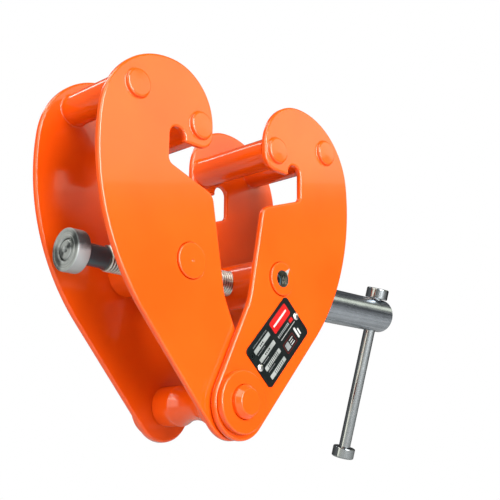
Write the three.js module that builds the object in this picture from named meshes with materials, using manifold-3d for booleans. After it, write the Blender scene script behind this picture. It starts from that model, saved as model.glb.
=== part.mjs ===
// Beam clamp: two pairs of jaw plates hinged on a load bar and spread or closed by one screw.
// Millimetres, +Z up. The load bar runs along Y and the screw along X. The origin lies midway
// between the jaws, in the plane of the faces that rest on top of the beam's lower flange.
import * as THREE from 'three';
import { mergeVertices } from 'three/addons/utils/BufferGeometryUtils.js';
import Module from 'manifold-3d';

// ---------- driving dimensions ----------

// Main layout, measured from the axis of the load bar
const seatHeight = 150;
const screwHeight = 79;
const trunnionOffset = 36.5;

// Widths across the plates
const innerPairWidth = 64;
const plateThickness = 4;
const plateGap = 0.6;

// Clearances
const turningGap = 0.3;
const fixedGap = 0.15;
const contactGap = 0.1;

// Jaw plate outline
const footRadius = 21.4;
const footShift = { x: -1.6, z: -0.8 };
const flankRadius = 143.7;
const flankCentre = { x: 37.5, belowSeat: 10.2 };
const shoulderRadius = 49.4;
const shoulderAngle = 173.8;
const crownRadius = 34.1;
const crownAngle = 85.9;
const noseCornerRadius = 10;
const reliefRadius = 6;
const reliefCentre = { x: -49.5, aboveSeat: 1.8 };
const mouthDepth = 15.1;
const mouthCornerRadius = 4.5;
const lipCorner = { x: -19.8, belowSeat: 27.3 };
const lipCornerRadius = 8;
const waistBend = { x: -8.8, z: 62.5 };
const waistBendRadius = 40;

// Load bar, with a waist that centres the hook, and the washers on its ends
const pinRadius = 10;
const barRadius = 12.7;
const waistRadius = 9.3;
const waistHalfLength = 13;
const pinEndLength = 5;
const pinEndChamfer = 2.5;
const washerRadius = 18.6;
const washerThickness = 4;
const washerChamfer = 0.5;

// Spacer rods, riveted into the plates at both ends
const rodRadius = 10;
const rivetRadius = 8.6;
const rivetRise = 2.5;
const rivetChamfer = 1.6;
const topRod = { x: -81.2, aboveSeat: 24.8 };
const noseRod = { x: -31.8, aboveSeat: 13.4 };

// Trunnions that carry the screw
const trunnionRadius = 14.6;
const journalRadius = 10.7;
const journalRise = 1.3;
const journalChamfer = 0.6;
const centreDotRadius = 0.9;
const centreDotDepth = 1.2;

// Lock screw in the near end of the right trunnion
const lockScrewRadius = 4.7;
const lockScrewRecess = 5;
const socketAcrossFlats = 5;
const socketDepth = 5;

// Screw spindle, one end of opposite hand to the other
const screwRadius = 8;
const shankRadius = 6.5;
const collarSeatRadius = 6.2;
const threadRunOutRadius = 6.7;
const threadRunOutHalf = 5;
const shankStart = -75;

// Stop collar on the spindle's left end and handle boss on its right end
const collarRadius = 12.4;
const collarLength = 8.85;
const collarChamfer = 0.6;
const stopDistance = 92.75;
const bossRadius = 12.5;
const bossLength = 100.25;
const bossSocketDepth = 40;
const bossChamfer = 0.8;

// Tommy bar, free to slide through the boss, with a cap on each end
const tommyRadius = 4.4;
const tommySlideGap = 0.35;
const tommyFromBossEnd = 9.45;
const tommyTilt = 16.5;
const tommyDrop = 104;
const capRadius = 8.5;
const capLength = 8;
const capWall = 2;
const capChamfer = 0.7;

// Name plate and its two drive rivets
const namePlateLength = 53.2;
const namePlateWidth = 30.4;
const namePlateThickness = 0.6;
const namePlateCorner = 3;
const namePlateTurn = 47.3;
const namePlateBearing = 56.3;
const namePlateFromJournal = 1.1;
const driveRivetSpacing = 48;
const driveRivetHeadRadius = 2.4;
const driveRivetShankRadius = 1.2;
const driveRivetRise = 1;
const driveRivetDepth = 3;

// Facets
const arcDivisions = 6;
const turnedFacets = 32;
const smallFacets = 20;

// ---------- sizes that follow ----------

const innerPair = {
  inside: innerPairWidth / 2 - plateThickness,
  outside: innerPairWidth / 2,
};
const outerPair = {
  inside: innerPair.outside + plateGap,
  outside: innerPair.outside + plateGap + plateThickness,
};
const washerInside = outerPair.outside + turningGap;
const pinEnd = washerInside + washerThickness + pinEndLength;
const journalHoleRadius = journalRadius + turningGap;
const screwBoreRadius = screwRadius + turningGap;
const tommyX = stopDistance + bossLength - tommyFromBossEnd;

const radians = THREE.MathUtils.degToRad;
const at = (x, z) => new THREE.Vector2(x, z);

// ---------- finishes ----------

const orangePaint = new THREE.MeshStandardMaterial({ color: 0xff7020, roughness: 0.35, metalness: 0 });
const brightSteel = new THREE.MeshStandardMaterial({ color: 0xb9bcbd, roughness: 0.3, metalness: 1 });
const turnedSteel = new THREE.MeshStandardMaterial({ color: 0x8c8f90, roughness: 0.4, metalness: 1 });
const darkSteel = new THREE.MeshStandardMaterial({ color: 0x5f6263, roughness: 0.35, metalness: 1 });
const blackPrint = new THREE.MeshStandardMaterial({ color: 0x151515, roughness: 0.4, metalness: 0.2 });

// ---------- solid helpers ----------

const wasm = await Module();
wasm.setup();

// Merges shared corners, drops triangles of no area and turns the faces outwards.
function closed(geometry) {
  const bare = geometry.clone();
  bare.deleteAttribute('normal');
  bare.deleteAttribute('uv');
  const merged = mergeVertices(bare, 1e-4);
  const position = merged.getAttribute('position');
  const corner = [0, 1, 2].map(() => new THREE.Vector3());
  const kept = [];
  let volume = 0;
  for (let i = 0; i < merged.index.count; i += 3) {
    const triangle = [0, 1, 2].map((k) => merged.index.getX(i + k));
    if (new Set(triangle).size < 3) continue;
    triangle.forEach((vertex, k) => corner[k].fromBufferAttribute(position, vertex));
    volume += corner[0].dot(corner[1].clone().cross(corner[2]));
    kept.push(triangle);
  }
  const indices = kept.flatMap(([a, b, c]) => (volume > 0 ? [a, b, c] : [a, c, b]));
  const result = new THREE.BufferGeometry();
  result.setAttribute('position', position);
  result.setIndex(indices);
  return result;
}

function toManifold(geometry) {
  const shell = closed(geometry);
  return new wasm.Manifold(new wasm.Mesh({
    numProp: 3,
    vertProperties: new Float32Array(shell.getAttribute('position').array),
    triVerts: new Uint32Array(shell.index.array),
  }));
}

function cut(geometry, ...tools) {
  const left = tools.reduce((solid, tool) => solid.subtract(toManifold(tool)), toManifold(geometry));
  const mesh = left.getMesh();
  const result = new THREE.BufferGeometry();
  result.setAttribute('position', new THREE.BufferAttribute(mesh.vertProperties, 3));
  result.setIndex(new THREE.BufferAttribute(mesh.triVerts, 1));
  return result;
}

// Solid of revolution about Y, from [radius, height] pairs.
function turned(profile, facets = turnedFacets) {
  return new THREE.LatheGeometry(profile.map(([radius, height]) => at(radius, height)), facets);
}

function addMesh(group, name, geometry, material) {
  const shell = closed(geometry);
  shell.computeVertexNormals();
  const mesh = new THREE.Mesh(shell, material);
  mesh.name = name;
  group.add(mesh);
  return mesh;
}

// Moves a solid that was made about Y so that it runs along X.
const alongX = (geometry) => geometry.rotateZ(-Math.PI / 2);

// ---------- jaw plates ----------

function addRoundedCorner(path, before, corner, after, radius) {
  const toBefore = before.clone().sub(corner).normalize();
  const toAfter = after.clone().sub(corner).normalize();
  const half = Math.acos(toBefore.dot(toAfter)) / 2;
  const reach = radius / Math.tan(half);
  const bisector = toBefore.clone().add(toAfter).normalize();
  const centre = corner.clone().addScaledVector(bisector, radius / Math.sin(half));
  const start = corner.clone().addScaledVector(toBefore, reach).sub(centre);
  const end = corner.clone().addScaledVector(toAfter, reach).sub(centre);
  const clockwise = toBefore.cross(toAfter) > 0;
  path.absarc(centre.x, centre.y, radius, start.angle(), end.angle(), clockwise);
}

// Outline of the left jaw: foot, flank, shoulder, crown, nose, mouth, lip and waist, clockwise.
function jawOutline() {
  const foot = at(footShift.x, footShift.z);
  const flank = at(flankCentre.x, seatHeight - flankCentre.belowSeat);
  const turn = radians(shoulderAngle);
  const shoulder = flank.clone().addScaledVector(
    at(Math.cos(turn), Math.sin(turn)), flankRadius - shoulderRadius);
  const top = radians(crownAngle);
  const crown = shoulder.clone().addScaledVector(
    at(Math.cos(top), Math.sin(top)), shoulderRadius - crownRadius);

  const footToFlank = flank.clone().sub(foot);
  const flankAngle = footToFlank.angle() + Math.acos((footRadius - flankRadius) / footToFlank.length());

  const noseX = crown.x + crownRadius;
  const relief = at(reliefCentre.x, seatHeight + reliefCentre.aboveSeat);
  const reliefStart = -Math.asin(reliefCentre.aboveSeat / reliefRadius);
  const mouthTop = at(relief.x - reliefRadius, relief.y);
  const mouthCorner = at(mouthTop.x, seatHeight - mouthDepth);
  const lip = at(lipCorner.x, seatHeight - lipCorner.belowSeat);
  const bend = at(waistBend.x, waistBend.z);

  const footToBend = bend.clone().sub(foot);
  const waistAngle = footToBend.angle() - Math.acos(footRadius / footToBend.length());
  const waistEnd = foot.clone().addScaledVector(
    at(Math.cos(waistAngle), Math.sin(waistAngle)), footRadius);

  const path = new THREE.Path();
  path.absarc(flank.x, flank.y, flankRadius, flankAngle, turn, true);
  path.absarc(shoulder.x, shoulder.y, shoulderRadius, turn, top, true);
  path.absarc(crown.x, crown.y, crownRadius, top, 0, true);
  path.absarc(noseX - noseCornerRadius, seatHeight + noseCornerRadius, noseCornerRadius,
    0, -Math.PI / 2, true);
  path.absarc(relief.x, relief.y, reliefRadius, reliefStart, Math.PI, false);
  addRoundedCorner(path, mouthTop, mouthCorner, lip, mouthCornerRadius);
  addRoundedCorner(path, mouthCorner, lip, bend, lipCornerRadius);
  addRoundedCorner(path, lip, bend, waistEnd, waistBendRadius);
  path.absarc(foot.x, foot.y, footRadius, waistAngle, flankAngle, true);
  return path.getPoints(arcDivisions);
}

function circleHole(x, z, radius) {
  const hole = new THREE.Path();
  hole.absarc(x, z, radius, 0, Math.PI, false);
  hole.absarc(x, z, radius, Math.PI, 2 * Math.PI, false);
  return hole;
}

// side is -1 for the left jaw and +1 for the right; from and to are distances along Y.
function jawPlate(side, from, extraHoles = []) {
  const outline = jawOutline().map((point) => at(-side * point.x, point.y));
  const shape = new THREE.Shape(outline);
  const pinHoleRadius = pinRadius + turningGap;
  const rivetHoleRadius = rivetRadius + fixedGap;
  shape.holes.push(
    circleHole(0, 0, pinHoleRadius),
    circleHole(side * trunnionOffset, screwHeight, journalHoleRadius),
    circleHole(-side * topRod.x, seatHeight + topRod.aboveSeat, rivetHoleRadius),
    circleHole(-side * noseRod.x, seatHeight + noseRod.aboveSeat, rivetHoleRadius),
    ...extraHoles,
  );
  const options = { depth: plateThickness, bevelEnabled: false, curveSegments: arcDivisions };
  return new THREE.ExtrudeGeometry(shape, options).rotateX(Math.PI / 2)
    .translate(0, from + plateThickness, 0);
}

// ---------- turned pieces across the jaws ----------

function spacerRod(pair) {
  const headEnd = pair.outside + rivetRise;
  const half = [
    [rodRadius, pair.inside],
    [rivetRadius, pair.inside],
    [rivetRadius, headEnd - rivetChamfer],
    [rivetRadius - rivetChamfer, headEnd],
    [0, headEnd],
  ];
  return turned([...mirroredEnd(half), ...half]);
}

// The same end at the other side of the centre plane, in reverse order.
const mirroredEnd = (half) => half.map(([radius, height]) => [radius, -height]).reverse();

function loadBar() {
  const shoulder = innerPair.inside - turningGap;
  const depth = barRadius - waistRadius;
  const grooveRadius = (waistHalfLength ** 2 + depth ** 2) / (2 * depth);
  const steps = 5;
  const groove = [];
  for (let i = 1; i <= steps; i += 1) {
    const y = (waistHalfLength * i) / steps;
    groove.push([waistRadius + grooveRadius - Math.sqrt(grooveRadius ** 2 - y ** 2), y]);
  }
  const half = [
    ...groove,
    [barRadius, shoulder],
    [pinRadius, shoulder],
    [pinRadius, pinEnd - pinEndChamfer],
    [pinRadius - pinEndChamfer, pinEnd],
    [0, pinEnd],
  ];
  return turned([...mirroredEnd(half), [waistRadius, 0], ...half]);
}

function washer() {
  const bore = pinRadius + fixedGap;
  return turned([
    [bore, 0],
    [washerRadius, 0],
    [washerRadius, washerThickness - washerChamfer],
    [washerRadius - washerChamfer, washerThickness],
    [bore, washerThickness],
    [bore, 0],
  ]);
}

function trunnion(pair, lockScrewEnd) {
  const shoulder = pair.inside - turningGap;
  const end = pair.outside + journalRise;
  const half = [
    [trunnionRadius, shoulder],
    [journalRadius, shoulder],
    [journalRadius, end - journalChamfer],
    [journalRadius - journalChamfer, end],
    [centreDotRadius, end],
    [0, end - centreDotDepth],
  ];
  const body = turned([...mirroredEnd(half), ...half]);
  const bore = alongX(new THREE.CylinderGeometry(
    screwBoreRadius, screwBoreRadius, 4 * trunnionRadius, turnedFacets));
  if (!lockScrewEnd) return cut(body, bore);
  const holeRadius = lockScrewRadius + turningGap;
  const hole = new THREE.CylinderGeometry(holeRadius, holeRadius, 2 * end, smallFacets)
    .translate(0, -end, 0);
  return cut(body, bore, hole);
}

function lockScrew(pair) {
  const tip = -(screwRadius + 2 * turningGap);
  const head = -(pair.outside + journalRise - lockScrewRecess);
  const body = new THREE.CylinderGeometry(lockScrewRadius, lockScrewRadius, tip - head, smallFacets)
    .translate(0, (tip + head) / 2, 0);
  const socketRadius = socketAcrossFlats / Math.sqrt(3);
  const socket = new THREE.CylinderGeometry(socketRadius, socketRadius, 2 * socketDepth, 6)
    .translate(0, head, 0);
  return cut(body, socket);
}

// ---------- screw, collar, boss and handle ----------

function spindle() {
  const collarFace = -stopDistance + turningGap;
  return alongX(turned([
    [0, -stopDistance - collarLength],
    [collarSeatRadius, -stopDistance - collarLength],
    [collarSeatRadius, collarFace],
    [shankRadius, collarFace],
    [shankRadius, shankStart],
    [screwRadius, shankStart + screwRadius - shankRadius],
    [screwRadius, -threadRunOutHalf - 1],
    [threadRunOutRadius, -threadRunOutHalf],
    [threadRunOutRadius, threadRunOutHalf],
    [screwRadius, threadRunOutHalf + 1],
    [screwRadius, stopDistance + bossSocketDepth - contactGap],
    [0, stopDistance + bossSocketDepth - contactGap],
  ]));
}

function stopCollar() {
  const bore = collarSeatRadius + turningGap;
  const outside = -stopDistance - collarLength;
  return alongX(turned([
    [bore, outside],
    [collarRadius - collarChamfer, outside],
    [collarRadius, outside + collarChamfer],
    [collarRadius, -stopDistance - collarChamfer],
    [collarRadius - collarChamfer, -stopDistance],
    [bore, -stopDistance],
    [bore, outside],
  ]));
}

// Direction of the tommy bar, for a solid that was made about Y with its top at +Y.
const alongTommy = (geometry) => geometry.rotateX(radians(90 + tommyTilt)).translate(tommyX, 0, 0);

function handleBoss() {
  const end = stopDistance + bossLength;
  const socket = screwRadius + fixedGap;
  const body = alongX(turned([
    [socket, stopDistance],
    [bossRadius - bossChamfer, stopDistance],
    [bossRadius, stopDistance + bossChamfer],
    [bossRadius, end - bossChamfer],
    [bossRadius - bossChamfer, end],
    [0, end],
    [0, stopDistance + bossSocketDepth],
    [socket, stopDistance + bossSocketDepth],
    [socket, stopDistance],
  ]));
  const holeRadius = tommyRadius + tommySlideGap;
  const hole = new THREE.CylinderGeometry(holeRadius, holeRadius, 4 * bossRadius, smallFacets);
  return cut(body, alongTommy(hole));
}

const capSeat = bossRadius + turningGap;
const tommyBarDepth = capLength - capWall - contactGap;

function tommyBar() {
  return alongTommy(turned([
    [0, -tommyDrop - tommyBarDepth],
    [tommyRadius, -tommyDrop - tommyBarDepth],
    [tommyRadius, capSeat + tommyBarDepth],
    [0, capSeat + tommyBarDepth],
  ], smallFacets));
}

// The cap's open end faces the bar; outward is +1 for the top cap and -1 for the bottom one.
function tommyCap(start, outward) {
  const bore = tommyRadius + fixedGap;
  const profile = [
    [0, capLength - capWall],
    [bore, capLength - capWall],
    [bore, 0],
    [capRadius - capChamfer, 0],
    [capRadius, capChamfer],
    [capRadius, capLength - capChamfer],
    [capRadius - capChamfer, capLength],
    [0, capLength],
  ];
  return alongTommy(turned(profile.map(([radius, height]) => [radius, start + outward * height]),
    smallFacets));
}

// ---------- name plate ----------

// The name plate lies along the jaw's flank, and its top corner clears the end of the trunnion.
function namePlateMiddle() {
  const bearing = radians(namePlateBearing);
  const reach = journalRadius + namePlateFromJournal + namePlateCorner;
  const along = namePlateLength / 2 - namePlateCorner + reach * Math.cos(bearing);
  const across = namePlateWidth / 2 - namePlateCorner + reach * Math.sin(bearing);
  const offset = at(along, across).rotateAround(at(0, 0), radians(namePlateTurn));
  return at(trunnionOffset, screwHeight).sub(offset);
}

// Places of the two drive rivets, along the plate's long centre line.
function driveRivetPlaces() {
  const halfSpacing = at(driveRivetSpacing / 2, 0).rotateAround(at(0, 0), radians(namePlateTurn));
  return [-1, 1].map((end) => namePlateMiddle().addScaledVector(halfSpacing, end));
}

function namePlate() {
  const halfLength = namePlateLength / 2;
  const halfWidth = namePlateWidth / 2;
  const corners = [
    at(-halfLength, -halfWidth), at(halfLength, -halfWidth),
    at(halfLength, halfWidth), at(-halfLength, halfWidth),
  ];
  const path = new THREE.Path();
  corners.forEach((corner, i) => {
    addRoundedCorner(path, corners[(i + 3) % 4], corner, corners[(i + 1) % 4], namePlateCorner);
  });
  const shape = new THREE.Shape(path.getPoints(3));
  const holeRadius = driveRivetShankRadius + fixedGap;
  shape.holes.push(...[-1, 1].map((end) => circleHole(end * driveRivetSpacing / 2, 0, holeRadius)));
  const options = { depth: namePlateThickness, bevelEnabled: false, curveSegments: arcDivisions };
  const middle = namePlateMiddle();
  return new THREE.ExtrudeGeometry(shape, options)
    .rotateZ(radians(namePlateTurn))
    .rotateX(Math.PI / 2)
    .translate(middle.x, -outerPair.outside - contactGap, middle.y);
}

function driveRivet(place) {
  const under = outerPair.outside + 2 * contactGap + namePlateThickness;
  return turned([
    [0, -under - driveRivetRise],
    [driveRivetHeadRadius * 0.6, -under - driveRivetRise],
    [driveRivetHeadRadius, -under - driveRivetRise * 0.3],
    [driveRivetHeadRadius, -under],
    [driveRivetShankRadius, -under],
    [driveRivetShankRadius, -outerPair.outside + driveRivetDepth],
    [0, -outerPair.outside + driveRivetDepth],
  ], smallFacets).translate(place.x, 0, place.y);
}

// ---------- assembly ----------

// Everything below is placed from the axis of the load bar.
const clamp = new THREE.Group();
clamp.position.z = -seatHeight;

addMesh(clamp, 'load_bar', loadBar(), orangePaint);
const nearWasher = addMesh(clamp, 'near_washer', washer(), orangePaint);
nearWasher.rotation.x = Math.PI;
nearWasher.position.y = -washerInside;
const farWasher = addMesh(clamp, 'far_washer', washer(), orangePaint);
farWasher.position.y = washerInside;

const jaws = [
  { name: 'left', side: -1, pair: innerPair },
  { name: 'right', side: 1, pair: outerPair },
];

for (const { name, side, pair } of jaws) {
  const carriesNamePlate = side > 0;
  const rivetHoles = driveRivetPlaces().map(
    ({ x, y }) => circleHole(x, y, driveRivetShankRadius + fixedGap));
  addMesh(clamp, `${name}_jaw_plate_near`,
    jawPlate(side, -pair.outside, carriesNamePlate ? rivetHoles : []), orangePaint);
  addMesh(clamp, `${name}_jaw_plate_far`, jawPlate(side, pair.inside), orangePaint);

  for (const [place, rod] of [['top', topRod], ['nose', noseRod]]) {
    const mesh = addMesh(clamp, `${name}_${place}_spacer`, spacerRod(pair), orangePaint);
    mesh.position.set(-side * rod.x, 0, seatHeight + rod.aboveSeat);
  }

  const carrier = addMesh(clamp, `${name}_trunnion`, trunnion(pair, side > 0), orangePaint);
  carrier.position.set(side * trunnionOffset, 0, screwHeight);
}

const screwLine = new THREE.Group();
screwLine.position.z = screwHeight;
clamp.add(screwLine);

const lock = addMesh(screwLine, 'spindle_lock_screw', lockScrew(outerPair), darkSteel);
lock.position.x = trunnionOffset;
addMesh(screwLine, 'spindle', spindle(), brightSteel);
addMesh(screwLine, 'stop_collar', stopCollar(), turnedSteel);
addMesh(screwLine, 'handle_boss', handleBoss(), darkSteel);
addMesh(screwLine, 'tommy_bar', tommyBar(), brightSteel);
addMesh(screwLine, 'tommy_cap_top', tommyCap(capSeat, 1), brightSteel);
addMesh(screwLine, 'tommy_cap_bottom', tommyCap(-tommyDrop, -1), brightSteel);

addMesh(clamp, 'name_plate', namePlate(), blackPrint);
driveRivetPlaces().forEach((place, i) => {
  addMesh(clamp, `name_plate_rivet_${i + 1}`, driveRivet(place), turnedSteel);
});

const beamClamp = new THREE.Group();
beamClamp.add(clamp);

export default beamClamp;
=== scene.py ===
import math

import bmesh
import bpy
from mathutils import Matrix, Vector
from mathutils.geometry import tessellate_polygon


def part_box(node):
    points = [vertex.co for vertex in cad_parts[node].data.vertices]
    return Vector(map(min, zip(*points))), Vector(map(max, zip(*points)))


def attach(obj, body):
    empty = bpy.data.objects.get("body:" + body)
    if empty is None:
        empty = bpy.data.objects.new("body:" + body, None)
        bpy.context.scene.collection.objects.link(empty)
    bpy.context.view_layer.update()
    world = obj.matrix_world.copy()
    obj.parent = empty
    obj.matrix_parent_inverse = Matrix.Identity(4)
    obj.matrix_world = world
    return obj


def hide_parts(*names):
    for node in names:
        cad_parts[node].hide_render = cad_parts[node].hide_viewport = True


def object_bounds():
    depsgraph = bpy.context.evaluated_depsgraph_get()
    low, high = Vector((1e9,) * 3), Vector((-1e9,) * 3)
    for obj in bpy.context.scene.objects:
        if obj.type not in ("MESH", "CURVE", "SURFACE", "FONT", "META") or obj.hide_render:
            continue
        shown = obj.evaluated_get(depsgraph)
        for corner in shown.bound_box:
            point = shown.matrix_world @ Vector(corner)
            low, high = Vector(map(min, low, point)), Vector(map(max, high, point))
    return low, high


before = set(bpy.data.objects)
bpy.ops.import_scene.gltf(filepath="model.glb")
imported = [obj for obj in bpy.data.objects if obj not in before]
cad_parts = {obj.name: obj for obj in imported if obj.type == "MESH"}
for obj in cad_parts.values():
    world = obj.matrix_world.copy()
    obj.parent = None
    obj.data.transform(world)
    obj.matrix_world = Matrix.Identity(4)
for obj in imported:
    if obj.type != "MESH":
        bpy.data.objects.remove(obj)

CAD_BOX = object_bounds()
MM = 0.001


# ---------- places taken from the frame ----------

def middle(node):
    low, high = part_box(node)
    return (low + high) / 2


def across(node):
    """A turned piece's radius about the load bar's direction."""
    low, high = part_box(node)
    return (high.z - low.z) / 2


BAR = middle("load_bar")
SCREW = Vector((0, BAR.y, middle("stop_collar").z))
ACROSS = Vector((0, 1, 0))
ALONG_SCREW = Vector((1, 0, 0))
UPWARDS = Vector((0, 0, 1))
CAP_TOP = middle("tommy_cap_top")
CAP_BOTTOM = middle("tommy_cap_bottom")
TOMMY_UP = (CAP_TOP - CAP_BOTTOM).normalized()
TOMMY_ORIGIN = Vector((CAP_TOP.x, SCREW.y, SCREW.z))

# Edges and paint, metres
PLATE_EDGE = 1.15 * MM
HOLE_EDGE = 0.5 * MM
PAINT_FILLET = 0.9 * MM
SHOULDER_GAP = 0.3 * MM
SHARP_ANGLE = math.radians(35)
FILLET_STEPS = 5
FILLET_HOLD = 0.12 * MM

# Outline of the left jaw's plates, millimetres from the load bar's axis
SEAT = -BAR.z / MM
FOOT_RADIUS = 21.4
FOOT_CENTRE = Vector((-1.6, -0.8))
FLANK_RADIUS = 143.7
FLANK_CENTRE = Vector((37.5, SEAT - 10.2))
SHOULDER_RADIUS = 49.4
SHOULDER_ANGLE = math.radians(173.8)
CROWN_RADIUS = 34.1
CROWN_ANGLE = math.radians(85.9)
NOSE_CORNER = 10
RELIEF_RADIUS = 6
RELIEF_CENTRE = Vector((-49.5, SEAT + 1.8))
RELIEF_EASE = math.radians(22)
RELIEF_CORNER = 1.5
MOUTH_FLOOR = SEAT - 15.1
MOUTH_CORNER = 4.5
LIP = Vector((-19.8, SEAT - 27.3))
LIP_CORNER = 8
WAIST = Vector((-8.8, 62.5))
WAIST_BEND = 40
ARC_STEP = math.radians(8)
CLOSEST_POINTS = 0.05


# ---------- outlines ----------

def polar(radius, angle):
    return Vector((radius * math.cos(angle), radius * math.sin(angle)))


def angle_of(vector):
    return math.atan2(vector.y, vector.x)


def arc(centre, radius, start, end, longest=1.6):
    """Points of an arc from start to end; longest is the chord that is not passed."""
    step = min(ARC_STEP, longest / radius)
    count = max(3, math.ceil(abs(end - start) / step))
    return [centre + polar(radius, start + (end - start) * i / count) for i in range(count + 1)]


def corner_arc(before, corner, after, radius, hold=0.0):
    """The arc that rounds off a corner: its centre, first angle and turn, and the points where its
    two straight sides stop, which lie outside the arc by hold."""
    to_before = (before - corner).normalized()
    to_after = (after - corner).normalized()
    half = to_before.angle(to_after) / 2
    reach = radius / math.tan(half)
    centre = corner + (to_before + to_after).normalized() * radius / math.sin(half)
    start = angle_of(corner + to_before * reach - centre)
    turn = math.remainder(angle_of(corner + to_after * reach - centre) - start, 2 * math.pi)
    side_in = corner + to_before * (reach + hold)
    side_out = corner + to_after * (reach + hold)
    return centre, start, turn, side_in, side_out


def rounded_corner(before, corner, after, radius, longest=1.6):
    centre, start, turn, _, _ = corner_arc(before, corner, after, radius)
    return arc(centre, radius, start, start + turn, longest)


def jaw_outline(side):
    """Outline of a jaw plate as x, z in metres; side is -1 for the left jaw and +1 for the right."""
    shoulder = FLANK_CENTRE + polar(FLANK_RADIUS - SHOULDER_RADIUS, SHOULDER_ANGLE)
    crown = shoulder + polar(SHOULDER_RADIUS - CROWN_RADIUS, CROWN_ANGLE)
    reach = FLANK_CENTRE - FOOT_CENTRE
    flank = angle_of(reach) + math.acos((FOOT_RADIUS - FLANK_RADIUS) / reach.length)
    to_waist = WAIST - FOOT_CENTRE
    waist = angle_of(to_waist) - math.acos(FOOT_RADIUS / to_waist.length)
    waist_end = FOOT_CENTRE + polar(FOOT_RADIUS, waist)
    nose = Vector((crown.x + CROWN_RADIUS - NOSE_CORNER, SEAT + NOSE_CORNER))
    nose_foot = nose - Vector((0, NOSE_CORNER))
    relief_start = -math.asin((RELIEF_CENTRE.y - SEAT) / RELIEF_RADIUS)
    relief_corner = RELIEF_CENTRE + polar(RELIEF_RADIUS, relief_start)
    relief_start += RELIEF_EASE
    relief_in = RELIEF_CENTRE + polar(RELIEF_RADIUS, relief_start)
    mouth_top = RELIEF_CENTRE - Vector((RELIEF_RADIUS, 0))
    mouth = Vector((mouth_top.x, MOUTH_FLOOR))
    stretches = [
        arc(FLANK_CENTRE, FLANK_RADIUS, flank, SHOULDER_ANGLE),
        arc(shoulder, SHOULDER_RADIUS, SHOULDER_ANGLE, CROWN_ANGLE),
        arc(crown, CROWN_RADIUS, CROWN_ANGLE, 0),
        arc(nose, NOSE_CORNER, 0, -math.pi / 2, longest=1),
        rounded_corner(nose_foot, relief_corner, relief_in, RELIEF_CORNER, longest=0.4),
        arc(RELIEF_CENTRE, RELIEF_RADIUS, relief_start, math.pi, longest=0.8),
        rounded_corner(mouth_top, mouth, LIP, MOUTH_CORNER, longest=0.8),
        rounded_corner(mouth, LIP, WAIST, LIP_CORNER, longest=1),
        rounded_corner(LIP, WAIST, waist_end, WAIST_BEND),
        arc(FOOT_CENTRE, FOOT_RADIUS, waist, flank - 2 * math.pi),
    ]
    points = []
    for stretch in stretches:
        for point in stretch:
            if not points or (point - points[-1]).length > CLOSEST_POINTS:
                points.append(point)
    if (points[0] - points[-1]).length < CLOSEST_POINTS:
        points.pop()
    return [Vector((-side * p.x * MM, BAR.z + p.y * MM)) for p in points]


def circle(centre, radius, count=64):
    return [centre + polar(radius, 2 * math.pi * i / count) for i in range(count)]


def signed_area(points):
    pairs = zip(points, points[1:] + points[:1])
    return sum(a.x * b.y - b.x * a.y for a, b in pairs) / 2


def turned_to(points, anticlockwise):
    return points if (signed_area(points) > 0) == anticlockwise else points[::-1]


def moved_in(points, distance):
    """The ring moved to the left of its travel by distance, which is towards the material."""
    result = []
    count = len(points)
    for i, point in enumerate(points):
        arriving = (point - points[i - 1]).normalized()
        leaving = (points[(i + 1) % count] - point).normalized()
        left = Vector((-arriving.y, arriving.x))
        bisector = (left + Vector((-leaving.y, leaving.x))).normalized()
        result.append(point + bisector * distance / max(0.4, bisector.dot(left)))
    return result


# ---------- mesh makers ----------

def in_scene(name, data):
    item = bpy.data.objects.new(name, data)
    bpy.context.scene.collection.objects.link(item)
    return item


def plain_mesh(name, bm):
    mesh = bpy.data.meshes.new(name)
    bm.to_mesh(mesh)
    bm.free()
    return mesh


def smoothed(mesh):
    """Shades the mesh smooth, with a crease wherever it turns by more than SHARP_ANGLE."""
    mesh.shade_smooth()
    mesh.set_sharp_from_angle(angle=SHARP_ANGLE)
    return mesh


def finished_mesh(name, bm):
    bmesh.ops.remove_doubles(bm, verts=bm.verts, dist=1e-7)
    bmesh.ops.recalc_face_normals(bm, faces=bm.faces)
    return smoothed(plain_mesh(name, bm))


def evaluated_mesh(item):
    """What an object's modifiers make of it, as a plain mesh."""
    bpy.context.view_layer.update()
    evaluated = item.evaluated_get(bpy.context.evaluated_depsgraph_get())
    return bpy.data.meshes.new_from_object(evaluated)


def edge_profile(thickness, radius, steps=5):
    """Inset and depth of the rings over a plate's rounded edge, front face to back face."""
    hold = 0.3 * MM
    front = []
    for i in range(steps + 1):
        turn = math.pi / 2 * i / steps
        front.append((radius * (1 - math.sin(turn)), radius * (1 - math.cos(turn))))
    front.insert(0, (radius + hold, 0))
    back = [(inset, thickness - depth) for inset, depth in reversed(front)]
    return front + back


def plate_into(bm, outline, holes, lift, thickness, edge, hole_edge=HOLE_EDGE, steps=5):
    """Adds a closed plate with rounded edges. lift turns a flat point and a depth into a place."""
    rings = [(turned_to(outline, True), edge)]
    rings += [(turned_to(hole, False), hole_edge) for hole in holes]
    fronts = []
    backs = []
    for points, radius in rings:
        profile = edge_profile(thickness, radius, steps)
        loops = []
        for inset, depth in profile:
            loops.append([bm.verts.new(lift(p, depth)) for p in moved_in(points, inset)])
        for upper, lower in zip(loops, loops[1:]):
            for i in range(len(points)):
                j = (i + 1) % len(points)
                bm.faces.new((upper[i], upper[j], lower[j], lower[i]))
        fronts.append((moved_in(points, profile[0][0]), loops[0]))
        backs.append((moved_in(points, profile[-1][0]), loops[-1]))
    for face in (fronts, backs):
        flat = [[Vector((p.x, p.y, 0)) for p in points] for points, _ in face]
        verts = [vert for _, loop in face for vert in loop]
        for triangle in tessellate_polygon(flat):
            corners = [verts[i] for i in triangle]
            if len(set(corners)) == 3 and bm.faces.get(corners) is None:
                bm.faces.new(corners)


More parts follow.
